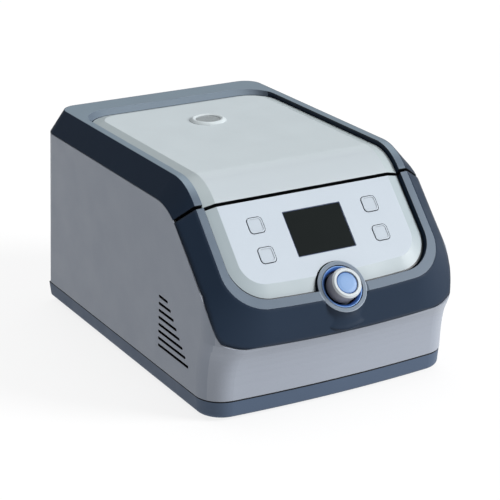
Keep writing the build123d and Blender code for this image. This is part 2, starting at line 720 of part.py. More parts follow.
ROT = Plane(origin=(0, ROT_Y, 0), x_dir=(1, 0, 0), z_dir=(0, -1, 0))      # local x = radius, local y = Z
ROT_AXIS = Axis((0, ROT_Y, 0), (0, 0, 1))
with BuildPart() as sight_glass_ring:
    with BuildSketch(ROT):
        polygon((12.4, 213.6), (16.4, 213.6), (16.4, 218.9), (20.0, 218.9), (19.6, 219.3), (17.2, 221.0), (16.0, 221.4), (15.2, 221.3),
                (13.4, 220.4), (13.4, 218.0), (12.4, 218.0))
    revolve(axis=ROT_AXIS)
save(sight_glass_ring, "sight_glass_ring")
with BuildPart() as sight_glass:
    with BuildSketch(zp(218.0)):
        with Locations((0, ROT_Y)):
            Circle(13.35)
    extrude(amount=2.0)
save(sight_glass, "sight_glass")

with BuildPart() as lid_liner:
    with BuildSketch(zp(202)):
        with Locations((0, 37)):
            RectangleRounded(236, 262, 20)
    extrude(amount=2.5)
    with BuildSketch(zp(202)):
        with Locations((0, ROT_Y)):
            Circle(98)
            Circle(88, mode=Mode.SUBTRACT)
    extrude(amount=-2.2)
    with BuildSketch(zp(204.5)):
        with Locations((0, ROT_Y)):
            Circle(16)
    extrude(amount=9.1)
    with BuildSketch(zp(195)):
        with Locations((0, ROT_Y)):
            Circle(13)
    extrude(amount=25, mode=Mode.SUBTRACT)
    with Locations(*[(x, y, 202) for x, y in POSTS]):
        Hole(1.9, 9)
save(lid_liner, "lid_liner")
with BuildPart() as lid_screws:
    with BuildSketch(zp(202)):
        with Locations(*POSTS):
            Circle(3.4)
    extrude(amount=-1.8)
    with BuildSketch(zp(202)):
        with Locations(*POSTS):
            Circle(1.45)
    extrude(amount=9)
save(lid_screws, "lid_screws")

# ---------------------------------------------------------------- hinges and lid lock
AXL = side(0)
with BuildPart() as lid_hinge_arms:
    for x in (-HX, HX):
        with BuildSketch(side(x - 3.6)):
            with Locations((AX_Y, AX_Z)):
                Circle(3.2)
            polygon((Y0 + 150, 209.4), (AX_Y, 209.4), (AX_Y, 211.7), (AX_Y - 1, Z_RIM - D_SLAB), (Y0 + 150, Z_RIM - D_SLAB))
        extrude(amount=7.2)
        with BuildSketch(side(x - 10)):
            polygon((Y0 + 157, 209.4), (AX_Y - 8, 209.4), (AX_Y - 8, Z_RIM - D_SLAB), (Y0 + 157, Z_RIM - D_SLAB))
        extrude(amount=20)
    with BuildSketch(side(-200)):
        with Locations((AX_Y, AX_Z)):
            Circle(2.05)
    extrude(amount=400, mode=Mode.SUBTRACT)
save(lid_hinge_arms, "lid_hinge_arms")
with BuildPart() as hinge_brackets:
    for x in (-HX, HX):
        for k in (-8.0, 4.0):
            with BuildSketch(side(x + k)):
                with Locations((AX_Y, AX_Z)):
                    Circle(3.2)
                polygon((AX_Y - 3.2, Z_DECK), (AX_Y + 3.2, Z_DECK), (AX_Y + 3.2, AX_Z), (AX_Y - 3.2, AX_Z))
            extrude(amount=4)
        with BuildSketch(zp(Z_DECK)):
            with Locations((x, Y0 + 170)):
                Rectangle(20, 26)
            with Locations((x - 6, Y0 + 163), (x + 6, Y0 + 163)):
                Circle(2.2, mode=Mode.SUBTRACT)
        extrude(amount=2.5)
    with BuildSketch(side(-200)):
        with Locations((AX_Y, AX_Z)):
            Circle(2.02)
    extrude(amount=400, mode=Mode.SUBTRACT)
save(hinge_brackets, "hinge_brackets")
with BuildPart() as hinge_pins:
    for x in (-HX, HX):
        with BuildSketch(side(x - 9.2)):
            with Locations((AX_Y, AX_Z)):
                Circle(2.0)
        extrude(amount=18.4)
save(hinge_pins, "hinge_pins")
B_SCR = [(x + k, Y0 + 163) for x in (-HX, HX) for k in (-6, 6)]
with BuildPart() as bracket_screws:
    with BuildSketch(zp(Z_DECK + 2.5)):
        with Locations(*B_SCR):
            Circle(3.4)
    extrude(amount=1.8)
    with BuildSketch(zp(Z_DECK + 2.5)):
        with Locations(*B_SCR):
            Circle(1.75)
    extrude(amount=-8)
save(bracket_screws, "bracket_screws")

Y_LK = -84.0         # lid lock
with BuildPart() as lid_striker:
    with BuildSketch(zp(200)):
        with Locations((0, Y_LK)):
            Rectangle(30, 12)
    extrude(amount=2)
    with BuildSketch(Plane(origin=(0, Y_LK - 2, 0), x_dir=(1, 0, 0), z_dir=(0, 1, 0))):
        with Locations((0, -186.5)):
            Rectangle(18, 27)
        with Locations((0, -188.5)):
            Rectangle(10, 25, mode=Mode.SUBTRACT)
    extrude(amount=4)
save(lid_striker, "lid_striker")
with BuildPart() as lock_unit:
    with BuildSketch(zp(160)):
        with Locations((0, Y_LK + 4)):
            Rectangle(56, 42)
    extrude(amount=28)
    with BuildSketch(zp(168)):
        with Locations((0, Y_LK)):
            Rectangle(24, 13)
    extrude(amount=30, mode=Mode.SUBTRACT)
    with BuildSketch(Plane(origin=(0, Y_LK + 30, 180), x_dir=(1, 0, 0), z_dir=(0, -1, 0))):
        Circle(2.55)
    extrude(amount=42, mode=Mode.SUBTRACT)
save(lock_unit, "lock_unit")
with BuildPart() as lock_bolt:
    with BuildSketch(Plane(origin=(0, Y_LK + 7, 180), x_dir=(1, 0, 0), z_dir=(0, 1, 0))):
        Circle(2.5)
    extrude(amount=17)
save(lock_bolt, "lock_bolt")

# ================================================================ chamber and drive
DECK_SCR = [(x, y) for x in (-132.5, 132.5) for y in (-70, 50, 165)]
with BuildPart() as top_deck:
    with BuildSketch(zp(Z_DECK - 3)):
        rear_outline(HW - WALL - 0.3, -90, Y_REAR - WALL - 0.3, RR_TOP - WALL)
        with Locations((0, -98)):
            Rectangle(256, 21)
        with Locations((0, ROT_Y)):
            Circle(93.2, mode=Mode.SUBTRACT)
        with Locations((0, Y_LK)):
            Rectangle(24, 10, mode=Mode.SUBTRACT)
        with Locations(*B_SCR):
            Circle(1.8, mode=Mode.SUBTRACT)
        with Locations(*DECK_SCR):
            Circle(1.8, mode=Mode.SUBTRACT)
    extrude(amount=3)
save(top_deck, "top_deck")
with BuildPart() as deck_screws:
    with BuildSketch(zp(Z_DECK)):
        with Locations(*DECK_SCR):
            Circle(3.2)
    extrude(amount=1.7)
    with BuildSketch(zp(Z_DECK)):
        with Locations(*DECK_SCR):
            Circle(1.75)
    extrude(amount=-3)
save(deck_screws, "deck_screws")
with BuildPart() as chamber_bowl:
    with BuildSketch(ROT):
        polygon((22, 112), (24, 112), (24, 104.5), (84, 104.5), (90, 110.5), (90, 192.5), (98, 192.5), (98, 191), (92, 191), (92, 109.5),
                (84.8, 102.5), (22, 102.5))
    revolve(axis=ROT_AXIS)
save(chamber_bowl, "chamber_bowl")
with BuildPart() as bowl_gasket:
    with BuildSketch(ROT):
        polygon((90.2, 192.5), (96.5, 192.5), (96.5, 194), (95, 199.6), (92, 199.6), (90.2, 194))
    revolve(axis=ROT_AXIS)
save(bowl_gasket, "bowl_gasket")

N_TUBE = 12
with BuildPart() as rotor_body:
    with BuildSketch(ROT):
        polygon((6.02, 116), (34, 116), (82, 147), (84, 151), (84, 180), (81, 184), (54, 184), (29, 159), (26, 154), (6.02, 154))
    revolve(axis=ROT_AXIS)
    for i in range(N_TUBE):
        a = radians(360 / N_TUBE * i)
        q = sqrt(0.5)
        # each tube hole leans outwards going down; its mouth is square to the cone of the dish
        pl = Plane(origin=(42 * cos(a), ROT_Y + 42 * sin(a), 172), x_dir=(-sin(a), cos(a), 0), z_dir=(-q * cos(a), -q * sin(a), q))
        with BuildSketch(pl.offset(4)):
            Circle(5.7)
        extrude(amount=-38, mode=Mode.SUBTRACT)
save(rotor_body, "rotor_body")
with BuildPart() as rotor_nut:
    with BuildSketch(zp(154)):
        with Locations((0, ROT_Y)):
            RegularPolygon(11, 6)
            Circle(6.0, mode=Mode.SUBTRACT)
    extrude(amount=7)
    with BuildSketch(zp(161)):
        with Locations((0, ROT_Y)):
            Circle(9)
    extrude(amount=4)
save(rotor_nut, "rotor_nut")
with BuildPart() as motor_shaft:
    with BuildSketch(zp(45)):
        with Locations((0, ROT_Y)):
            Circle(6.0)
    extrude(amount=116)
save(motor_shaft, "motor_shaft")
with BuildPart() as motor_magnets:
    with BuildSketch(zp(56)):
        with Locations((0, ROT_Y)):
            Circle(23.5)
            Circle(6.01, mode=Mode.SUBTRACT)
    extrude(amount=26)
save(motor_magnets, "motor_magnets")
with BuildPart() as motor_stator:
    with BuildSketch(zp(54)):
        with Locations((0, ROT_Y)):
            Circle(33.9)
            Circle(24.2, mode=Mode.SUBTRACT)
    extrude(amount=30)
save(motor_stator, "motor_stator")
with BuildPart() as motor_housing:
    with BuildSketch(ROT):
        polygon((0, 40), (40, 40), (40, 96), (18, 96), (18, 99), (7.5, 99), (7.5, 95), (13, 95), (13, 87), (34, 87), (34, 54), (13, 54),
                (13, 44), (0, 44))
    revolve(axis=ROT_AXIS)
save(motor_housing, "motor_housing")
with BuildPart() as motor_bearings:
    for z in (44, 87):
        with BuildSketch(zp(z + 0.2)):
            with Locations((0, ROT_Y)):
                Circle(12.95)
                Circle(6.05, mode=Mode.SUBTRACT)
        extrude(amount=7.6)
save(motor_bearings, "motor_bearings")
DAMP = [(x, ROT_Y + y) for x in (-48, 48) for y in (-48, 48)]
with BuildPart() as motor_mount_plate:
    with BuildSketch(zp(34)):
        with Locations((0, ROT_Y)):
            RectangleRounded(122, 122, 12)
        with Locations(*DAMP):
            Circle(3.2, mode=Mode.SUBTRACT)
    extrude(amount=6)
save(motor_mount_plate, "motor_mount_plate")
with BuildPart() as vibration_dampers:
    with BuildSketch(zp(14)):
        with Locations(*DAMP):
            Circle(9)
            Circle(3.2, mode=Mode.SUBTRACT)
    extrude(amount=20)
save(vibration_dampers, "vibration_dampers")
with BuildPart() as damper_bolts:
    with BuildSketch(zp(14)):
        with Locations(*DAMP):
            Circle(3.0)
    extrude(amount=26)
    with BuildSketch(zp(40)):
        with Locations(*DAMP):
            RegularPolygon(6, 6)
    extrude(amount=4)
save(damper_bolts, "damper_bolts")

# ================================================================ electrics
SO = [(60 + x, Y0 - 95 + y) for x in (-50, 50) for y in (-30, 30)]
with BuildPart() as board_standoffs:
    with BuildSketch(zp(6)):
        with Locations(*SO):
            RegularPolygon(3.5, 6)
    extrude(amount=9)
save(board_standoffs, "board_standoffs")
with BuildPart() as power_board:
    with BuildSketch(zp(15)):
        with Locations((60, Y0 - 95)):
            Rectangle(112, 72)
    extrude(amount=1.6)
    with BuildSketch(zp(16.6)):
        with Locations((30, Y0 - 110), (30, Y0 - 88)):
            Circle(8)
        with Locations((95, Y0 - 112)):
            Rectangle(24, 20)
    extrude(amount=22)
save(power_board, "power_board")
with BuildPart() as heatsink:
    with BuildSketch(zp(16.6)):
        with Locations((72, Y0 - 75)):
            Rectangle(50, 22)
    extrude(amount=4)
    with BuildSketch(zp(20.6)):
        with Locations((72, Y0 - 75)):
            with GridLocations(6, 0, 8, 1):
                Rectangle(1.6, 22)
    extrude(amount=18)
save(heatsink, "heatsink")
with BuildPart() as transformer:
    with BuildSketch(zp(6)):
        with Locations((-70, Y0 - 95)):
            Rectangle(66, 44)
    extrude(amount=50)
    with BuildSketch(zp(14)):
        with Locations((-70, Y0 - 95)):
            Rectangle(44, 62)
    extrude(amount=34)
save(transformer, "transformer")
with BuildPart() as mains_filter:
    with BuildSketch(zp(6)):
        with Locations((92, Y0 + 118)):
            Rectangle(40, 52)
    extrude(amount=26)
save(mains_filter, "mains_filter")

RW = Plane(origin=(0, Y_REAR, 0), x_dir=(-1, 0, 0), z_dir=(0, 1, 0))     # outside of the rear wall; local x = -X, local y = Z
with BuildPart() as power_inlet:
    with BuildSketch(RW):
        with Locations((-INLET_X, INLET_Z)):
            RectangleRounded(34, 38, 2)
    extrude(amount=3)
    with BuildSketch(RW):
        with Locations((-INLET_X, INLET_Z)):
            Rectangle(27.2, 31.2)
    extrude(amount=-26)
    with BuildSketch(RW.offset(3)):
        with Locations((-INLET_X, INLET_Z - 5)):
            RectangleRounded(24.2, 16.4, 1.5)
    extrude(amount=-18, mode=Mode.SUBTRACT)
    with BuildSketch(RW.offset(3)):
        with Locations((-INLET_X, INLET_Z + 9.5)):
            Rectangle(22.2, 8.2)
    extrude(amount=-16, mode=Mode.SUBTRACT)
save(power_inlet, "power_inlet")
with BuildPart() as inlet_pins:
    with BuildSketch(RW.offset(-15)):
        with Locations((-INLET_X - 7, INLET_Z - 6.2), (-INLET_X, INLET_Z - 2.6), (-INLET_X + 7, INLET_Z - 6.2)):
            Rectangle(2, 4)
    extrude(amount=13)
save(inlet_pins, "inlet_pins")
with BuildPart() as fuse_drawer:
    with BuildSketch(RW.offset(3.4)):
        with Locations((-INLET_X, INLET_Z + 9.5)):
            Rectangle(21.8, 7.8)
    extrude(amount=-16.4)
save(fuse_drawer, "fuse_drawer")
with BuildPart() as switch_frame:
    with BuildSketch(RW):
        with Locations((-ROCK_X, ROCK_Z)):
            RectangleRounded(16, 22, 1)
    extrude(amount=1.5)
    with BuildSketch(RW):
        with Locations((-ROCK_X, ROCK_Z)):
            Rectangle(13.2, 19.2)
    extrude(amount=-18)
    with BuildSketch(RW.offset(1.5)):
        with Locations((-ROCK_X, ROCK_Z)):
            Rectangle(10.4, 17.0)
    extrude(amount=-16, mode=Mode.SUBTRACT)
    with BuildSketch(side(ROCK_X - 6)):
        with Locations((Y_REAR - 6, ROCK_Z)):
            Circle(1.2)
    extrude(amount=12)
save(switch_frame, "switch_frame")
ra = radians(10)
ROCKER = [(5.5, -7.3), (6.6, 0), (5.5, 7.3), (0, 7.3), (-3.5, 4), (-3.5, -4), (0, -7.3)]
with BuildPart() as power_rocker:
    with BuildSketch(side(ROCK_X - 5)):
        polygon(*[(Y_REAR - 6 + y * cos(ra) - z * sin(ra), ROCK_Z + y * sin(ra) + z * cos(ra)) for y, z in ROCKER])
        with Locations((Y_REAR - 6, ROCK_Z)):
            Circle(1.25, mode=Mode.SUBTRACT)
    extrude(amount=10)
save(power_rocker, "power_rocker")
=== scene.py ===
import bpy, math
from mathutils import Vector, Matrix

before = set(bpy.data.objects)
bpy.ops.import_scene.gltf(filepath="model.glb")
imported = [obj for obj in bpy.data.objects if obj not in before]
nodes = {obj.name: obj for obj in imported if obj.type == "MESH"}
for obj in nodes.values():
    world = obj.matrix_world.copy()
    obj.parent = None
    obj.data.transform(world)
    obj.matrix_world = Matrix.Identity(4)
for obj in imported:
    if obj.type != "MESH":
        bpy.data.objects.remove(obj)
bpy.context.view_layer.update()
scene = bpy.context.scene
scene.view_settings.view_transform = "Standard"
scene.view_settings.look = "None"
scene.view_settings.exposure = 0.0
scene.view_settings.gamma = 1.0

# ------------------------------------------------------------------ camera
fwd = Vector((0.46499, 0.81364, -0.34896)).normalized()
right = Vector((0.86822, -0.49618, 0.0)).normalized()
up = right.cross(fwd).normalized()
roll = math.radians(0.07)
r2 = right * math.cos(roll) + up * math.sin(roll)
u2 = up * math.cos(roll) - right * math.sin(roll)
cam = bpy.data.cameras.new("camera")
cam.sensor_width = 36.0
cam.lens = 126.75
cam.clip_end = 20
cam_ob = bpy.data.objects.new("camera", cam)
scene.collection.objects.link(cam_ob)
M = Matrix((r2, u2, -fwd)).transposed().to_4x4()
M.translation = Vector((-0.85728, -1.50795, 0.74385))
cam_ob.matrix_world = M
scene.camera = cam_ob


# ------------------------------------------------------------------ material tools
def srgb(r, g, b):
    def f(v):
        v /= 255.0
        return v / 12.92 if v <= 0.04045 else ((v + 0.055) / 1.055) ** 2.4
    return (f(r), f(g), f(b), 1.0)


def math_node(N, L, op, a, b=None, c=None):
    n = N.new("ShaderNodeMath")
    n.operation = op
    for i, v in enumerate((a, b, c)):
        if v is None:
            continue
        if isinstance(v, (int, float)):
            n.inputs[i].default_value = v
        else:
            L.new(v, n.inputs[i])
    return n.outputs[0]


def vec_node(N, L, op, a, b=None, out=0):
    n = N.new("ShaderNodeVectorMath")
    n.operation = op
    for i, v in enumerate((a, b)):
        if v is None:
            continue
        if isinstance(v, (tuple, list, Vector)):
            n.inputs[i].default_value = v
        else:
            L.new(v, n.inputs[i])
    return n.outputs[out]


def ramp_node(N, L, fac, stops, interp="LINEAR"):
    n = N.new("ShaderNodeValToRGB")
    cr = n.color_ramp
    cr.interpolation = interp
    while len(cr.elements) < len(stops):
        cr.elements.new(0.5)
    for e, (p, colr) in zip(cr.elements, stops):
        e.position = p
        e.color = colr
    L.new(fac, n.inputs["Fac"])
    return n.outputs["Color"]


def grey(v):
    return (v, v, v, 1.0)


# places on the object that some finishes refer to, in metres
GAP_PT, GAP_N, GAP_H = Vector((0, -0.1137, 0.19829)), Vector((0, -math.sin(math.radians(58.6)), -math.cos(math.radians(58.6)))), 0.0016
RIM_W = 1.3
KNOB_PT = Vector((0, -0.1871, 0.1213))
KNOB_AX = Vector((0, -math.cos(math.radians(39.5)), math.sin(math.radians(39.5))))
FACE_N = Vector((0, -math.sin(math.radians(47.11)), math.cos(math.radians(47.11))))


def near_gap(N, L, tc):
    """1 on the walls of the gap between the lid and the front, where a near-black painted shade is laid."""
    d = vec_node(N, L, "SUBTRACT", tc.outputs["Object"], GAP_PT)
    d = vec_node(N, L, "DOT_PRODUCT", d, GAP_N, out=1)
    d = math_node(N, L, "ABSOLUTE", d)
    return math_node(N, L, "LESS_THAN", d, GAP_H + 0.00015)


def near_gap_inside(N, L, tc):
    """1 on the parts of the casing that are seen only through the gap, where a near-black painted shade is laid."""
    d = vec_node(N, L, "SUBTRACT", tc.outputs["Object"], GAP_PT)
    d = vec_node(N, L, "DOT_PRODUCT", d, GAP_N, out=1)
    a = math_node(N, L, "LESS_THAN", math_node(N, L, "ABSOLUTE", d), 0.012)
    sp = N.new("ShaderNodeSeparateXYZ")
    L.new(tc.outputs["Object"], sp.inputs[0])
    b = math_node(N, L, "GREATER_THAN", sp.outputs["Z"], 0.165)
    c = math_node(N, L, "LESS_THAN", math_node(N, L, "ABSOLUTE", sp.outputs["X"]), 0.1392)
    return math_node(N, L, "MULTIPLY", math_node(N, L, "MULTIPLY", a, b), c)


def side_wall_shade(N, L, tc):
    """1 on walls that face left or right, where painted shade darkens the colour."""
    sp = N.new("ShaderNodeSeparateXYZ")
    L.new(tc.outputs["Normal"], sp.inputs[0])
    d = math_node(N, L, "ABSOLUTE", sp.outputs["X"])
    return math_node(N, L, "GREATER_THAN", d, 0.85)


def ring_inner(N, L, tc):
    """1 on the inner edge of the ring round the knob, which gets a dark painted shade."""
    return math_node(N, L, "LESS_THAN", knob_radius(N, L, tc), 0.0221)


def ring_line(N, L, tc):
    """1 on the fine step where the trim strip meets the ring, which gets a lighter line as a painted highlight."""
    r = knob_radius(N, L, tc)
    return math_node(N, L, "MULTIPLY", math_node(N, L, "GREATER_THAN", r, 0.02542), math_node(N, L, "LESS_THAN", r, 0.0262))


def box_mask(N, L, tc, lo, hi):
    """1 inside the box from lo to hi, with X taken without its sign."""
    sp = N.new("ShaderNodeSeparateXYZ")
    L.new(tc.outputs["Object"], sp.inputs[0])
    vals = (math_node(N, L, "ABSOLUTE", sp.outputs["X"]), sp.outputs["Y"], sp.outputs["Z"])
    f = None
    for v, a, b in zip(vals, lo, hi):
        for t in (math_node(N, L, "GREATER_THAN", v, a), math_node(N, L, "LESS_THAN", v, b)):
            f = t if f is None else math_node(N, L, "MULTIPLY", f, t)
    return f


def lid_nose(N, L, tc):
    """Grows from 0 to 1 as the lid turns from its flat top to its front; used to paint the front darker, as painted
    shade.
    """
    sp = N.new("ShaderNodeSeparateXYZ")
    L.new(tc.outputs["Normal"], sp.inputs[0])
    v = math_node(N, L, "MULTIPLY_ADD", sp.outputs["Y"], -4.0, -0.3)
    return math_node(N, L, "MINIMUM", math_node(N, L, "MAXIMUM", v, 0.0), 1.0)


def slot_walls(N, L, tc):
    """1 on the walls of the side ventilation slots, which face up or down, and on the inside of the wall behind them;
    these get near-black painted shade.
    """
    f = box_mask(N, L, tc, (0.12, -0.14, 0.038), (0.1399, -0.055, 0.108))
    sp = N.new("ShaderNodeSeparateXYZ")
    L.new(tc.outputs["Normal"], sp.inputs[0])
    g = math_node(N, L, "LESS_THAN", math_node(N, L, "ABSOLUTE", sp.outputs["X"]), 0.5)
    return math_node(N, L, "MULTIPLY", f, g)


def tray_lip(N, L, tc):
    """1 on the lip of the tray, in the seam under the housing, which gets near-black painted shade."""
    sp = N.new("ShaderNodeSeparateXYZ")
    L.new(tc.outputs["Object"], sp.inputs[0])
    return math_node(N, L, "GREATER_THAN", sp.outputs["Z"], 0.0204)


def panel_uv(N, L, tc):
    """Across and down the control panel from the middle of its upper edge, in millimetres."""
    d = vec_node(N, L, "SUBTRACT", tc.outputs["Object"], GAP_PT)
    v = vec_node(N, L, "DOT_PRODUCT", d, Vector((0, -math.cos(math.radians(47.11)), -math.sin(math.radians(47.11)))) * 1000, out=1)
    sp = N.new("ShaderNodeSeparateXYZ")
    L.new(d, sp.inputs[0])
    u = math_node(N, L, "MULTIPLY", math_node(N, L, "ABSOLUTE", sp.outputs["X"]), 1000)
    return u, v


def panel_rim(N, L, tc):
    """1 on the last millimetre of the control panel, in the groove along the trim strip, which gets dark painted shade.
    """
    u, v = panel_uv(N, L, tc)
    bow = math_node(N, L, "DIVIDE", math_node(N, L, "MULTIPLY", u, u), 2430.0)
    a = math_node(N, L, "MAXIMUM", math_node(N, L, "SUBTRACT", u, 111 - 36.5), 0.0)
    b = math_node(N, L, "MAXIMUM", math_node(N, L, "SUBTRACT", math_node(N, L, "ADD", v, bow), 105.4 - 36.5), 0.0)
    d = math_node(N, L, "SQRT", math_node(N, L, "ADD", math_node(N, L, "MULTIPLY", a, a), math_node(N, L, "MULTIPLY", b, b)))
    return math_node(N, L, "GREATER_THAN", d, 36.5 - RIM_W)


def lens_rim_highlight(N, L, tc):
    """1 on the outer edge of the display window, which gets a lighter bluish line as a painted highlight."""
    u, v = panel_uv(N, L, tc)
    a = math_node(N, L, "GREATER_THAN", u, 32.9 - 0.7)
    b = math_node(N, L, "GREATER_THAN", math_node(N, L, "ABSOLUTE", math_node(N, L, "SUBTRACT", v, 43.8)), 24.45 - 0.7)
    return math_node(N, L, "MAXIMUM", a, b)


def off_panel(N, L, tc):
    """1 on faces steeply turned away from the control panel: the walls of its openings and its outer edge, which get
    dark painted shade.
    """
    d = vec_node(N, L, "DOT_PRODUCT", tc.outputs["Normal"], FACE_N, out=1)
    d = math_node(N, L, "ABSOLUTE", d)
    return math_node(N, L, "LESS_THAN", d, 0.6)


def panel_slope(N, L, tc):
    """1 on the sloping border of the control panel, which is painted darker as painted shade."""
    d = vec_node(N, L, "DOT_PRODUCT", tc.outputs["Normal"], FACE_N, out=1)
    return math_node(N, L, "LESS_THAN", d, 0.997)


def lid_slope(N, L, tc):
    """1 on the sloping borders at the two sides and the back of the lid panel, which are painted darker as painted
    shade.
    """
    sp = N.new("ShaderNodeSeparateXYZ")
    L.new(tc.outputs["Normal"], sp.inputs[0])
    d = math_node(N, L, "ABSOLUTE", sp.outputs["X"])
    e = math_node(N, L, "MAXIMUM", d, sp.outputs["Y"])
    return math_node(N, L, "GREATER_THAN", e, 0.08)


def level(N, L, tc):
    """From 0 on the slope of the front to 1 on the level top; used to paint the level top lighter, as painted light."""
    sp = N.new("ShaderNodeSeparateXYZ")
    L.new(tc.outputs["Normal"], sp.inputs[0])
    mr = N.new("ShaderNodeMapRange")
    mr.interpolation_type = "SMOOTHSTEP"
    mr.inputs["From Min"].default_value = 0.72
    mr.inputs["From Max"].default_value = 0.99
    L.new(sp.outputs["Z"], mr.inputs["Value"])
    return mr.outputs["Result"]


def knob_radius(N, L, tc):
    """Distance from the axis of the knob."""
    d = vec_node(N, L, "SUBTRACT", tc.outputs["Object"], KNOB_PT)
    d = vec_node(N, L, "CROSS_PRODUCT", d, KNOB_AX)
    return vec_node(N, L, "LENGTH", d, out=1)


def mat(name, base, rough=0.45, metallic=0.0, coat=0.0, coat_rough=0.2, spec=0.5, var=0.06, var_scale=9.0,
        grain=900.0, grain_bump=0.02, grain_dist=0.0002, speck=0.0, speck_scale=2500.0, edge=0.0, edge_highlight_col=None, bevel=0.0005, peel=0.0,
        rough_var=0.06, transmission=0.0, ior=1.45, emit=None, emit_strength=0.0, brushed=None, layers=(), profile=None, glow=False):
    """Procedural finish: slow colour drift, fine moulded or sprayed grain, roughness variation, a painted highlight
    that lightens rounded edges, concave ones too, and layers, each a mask and the colour that it lays over the rest;
    the layers used here paint shade or highlights."""
    m = bpy.data.materials.new(name)
    m.use_nodes = True
    nt = m.node_tree
    N, L = nt.nodes, nt.links
    bsdf = N.get("Principled BSDF")
    if bsdf is None:
        N.clear()
        out = N.new("ShaderNodeOutputMaterial")
        bsdf = N.new("ShaderNodeBsdfPrincipled")
        L.new(bsdf.outputs[0], out.inputs[0])
    tc = N.new("ShaderNodeTexCoord")
    src = tc.outputs["Object"]
    # slow drift of the colour
    n1 = N.new("ShaderNodeTexNoise")
    n1.inputs["Scale"].default_value = var_scale
    n1.inputs["Detail"].default_value = 4
    L.new(src, n1.inputs["Vector"])
    b = Vector(base[:3])
    if profile:
        # colour set by the distance from the knob axis, with the drift laid over it
        r = math_node(N, L, "MULTIPLY", knob_radius(N, L, tc), 1 / 0.03)
        colp = ramp_node(N, L, r, [(p / 30.0, colr) for p, colr in profile])
        drift = ramp_node(N, L, n1.outputs["Fac"], [(0.3, grey(1 - var)), (0.7, grey(1.0))])
        mx = N.new("ShaderNodeMix")
        mx.data_type = "RGBA"
        mx.blend_type = "MULTIPLY"
        mx.inputs["Factor"].default_value = 1.0
        L.new(colp, mx.inputs["A"])
        L.new(drift, mx.inputs["B"])
        col = mx.outputs["Result"]
    else:
        col = ramp_node(N, L, n1.outputs["Fac"], [(0.3, (*(b * (1 - var)), 1)), (0.7, (*(b * (1 + var)), 1))])
    # fine grain
    n2 = N.new("ShaderNodeTexNoise")
    n2.inputs["Scale"].default_value = grain
    n2.inputs["Detail"].default_value = 3
    n2.inputs["Roughness"].default_value = 0.6
    if brushed:
        mp = N.new("ShaderNodeMapping")
        mp.inputs["Scale"].default_value = brushed
        L.new(src, mp.inputs["Vector"])
        L.new(mp.outputs["Vector"], n2.inputs["Vector"])
    else:
        L.new(src, n2.inputs["Vector"])
    if speck > 0:
        n3 = N.new("ShaderNodeTexVoronoi")
        n3.inputs["Scale"].default_value = speck_scale
        L.new(src, n3.inputs["Vector"])
        r3 = ramp_node(N, L, n3.outputs["Distance"], [(0.0, grey(1 + speck)), (0.9, grey(1 - speck))])
        mx = N.new("ShaderNodeMix")
        mx.data_type = "RGBA"
        mx.blend_type = "MULTIPLY"
        mx.inputs["Factor"].default_value = 1.0
        L.new(col, mx.inputs["A"])
        L.new(r3, mx.inputs["B"])
        col = mx.outputs["Result"]
    bv = None
    if bevel > 0:
        bv = N.new("ShaderNodeBevel")
        bv.samples = 6
        bv.inputs["Radius"].default_value = bevel
    # painted highlight: where the bevel rounds an edge, convex or concave, the colour is lightened towards the edge
    # colour
    if edge > 0 and bv:
        geo = N.new("ShaderNodeNewGeometry")
        d = vec_node(N, L, "DOT_PRODUCT", geo.outputs["Normal"], bv.outputs["Normal"], out=1)
        er = N.new("ShaderNodeMapRange")
        er.inputs["From Min"].default_value = 0.99
        er.inputs["From Max"].default_value = 0.8
        er.inputs["To Min"].default_value = 0.0
        er.inputs["To Max"].default_value = edge
        L.new(d, er.inputs["Value"])
        me = N.new("ShaderNodeMix")
        me.data_type = "RGBA"
        L.new(er.outputs["Result"], me.inputs["Factor"])
        L.new(col, me.inputs["A"])
        me.inputs["B"].default_value = edge_highlight_col or (*(b * 1.5), 1)
        col = me.outputs["Result"]
    for fn, colr, amount in layers:
        me = N.new("ShaderNodeMix")
        me.data_type = "RGBA"
        fac = fn(N, L, tc)
        if amount < 1:
            fac = math_node(N, L, "MULTIPLY", fac, amount)
        L.new(fac, me.inputs["Factor"])
        L.new(col, me.inputs["A"])
        me.inputs["B"].default_value = colr
        col = me.outputs["Result"]
    L.new(col, bsdf.inputs["Base Color"])
    if glow:
        L.new(col, bsdf.inputs["Emission Color"])
        bsdf.inputs["Emission Strength"].default_value = emit_strength
    # roughness
    rr = N.new("ShaderNodeMapRange")
    rr.inputs["From Min"].default_value = 0.3
    rr.inputs["From Max"].default_value = 0.7
    rr.inputs["To Min"].default_value = max(0.02, rough - rough_var)
    rr.inputs["To Max"].default_value = min(1.0, rough + rough_var)
    n4 = N.new("ShaderNodeTexNoise")
    n4.inputs["Scale"].default_value = 40.0
    n4.inputs["Detail"].default_value = 5
    L.new(src, n4.inputs["Vector"])
    L.new(n4.outputs["Fac"], rr.inputs["Value"])
    L.new(rr.outputs["Result"], bsdf.inputs["Roughness"])
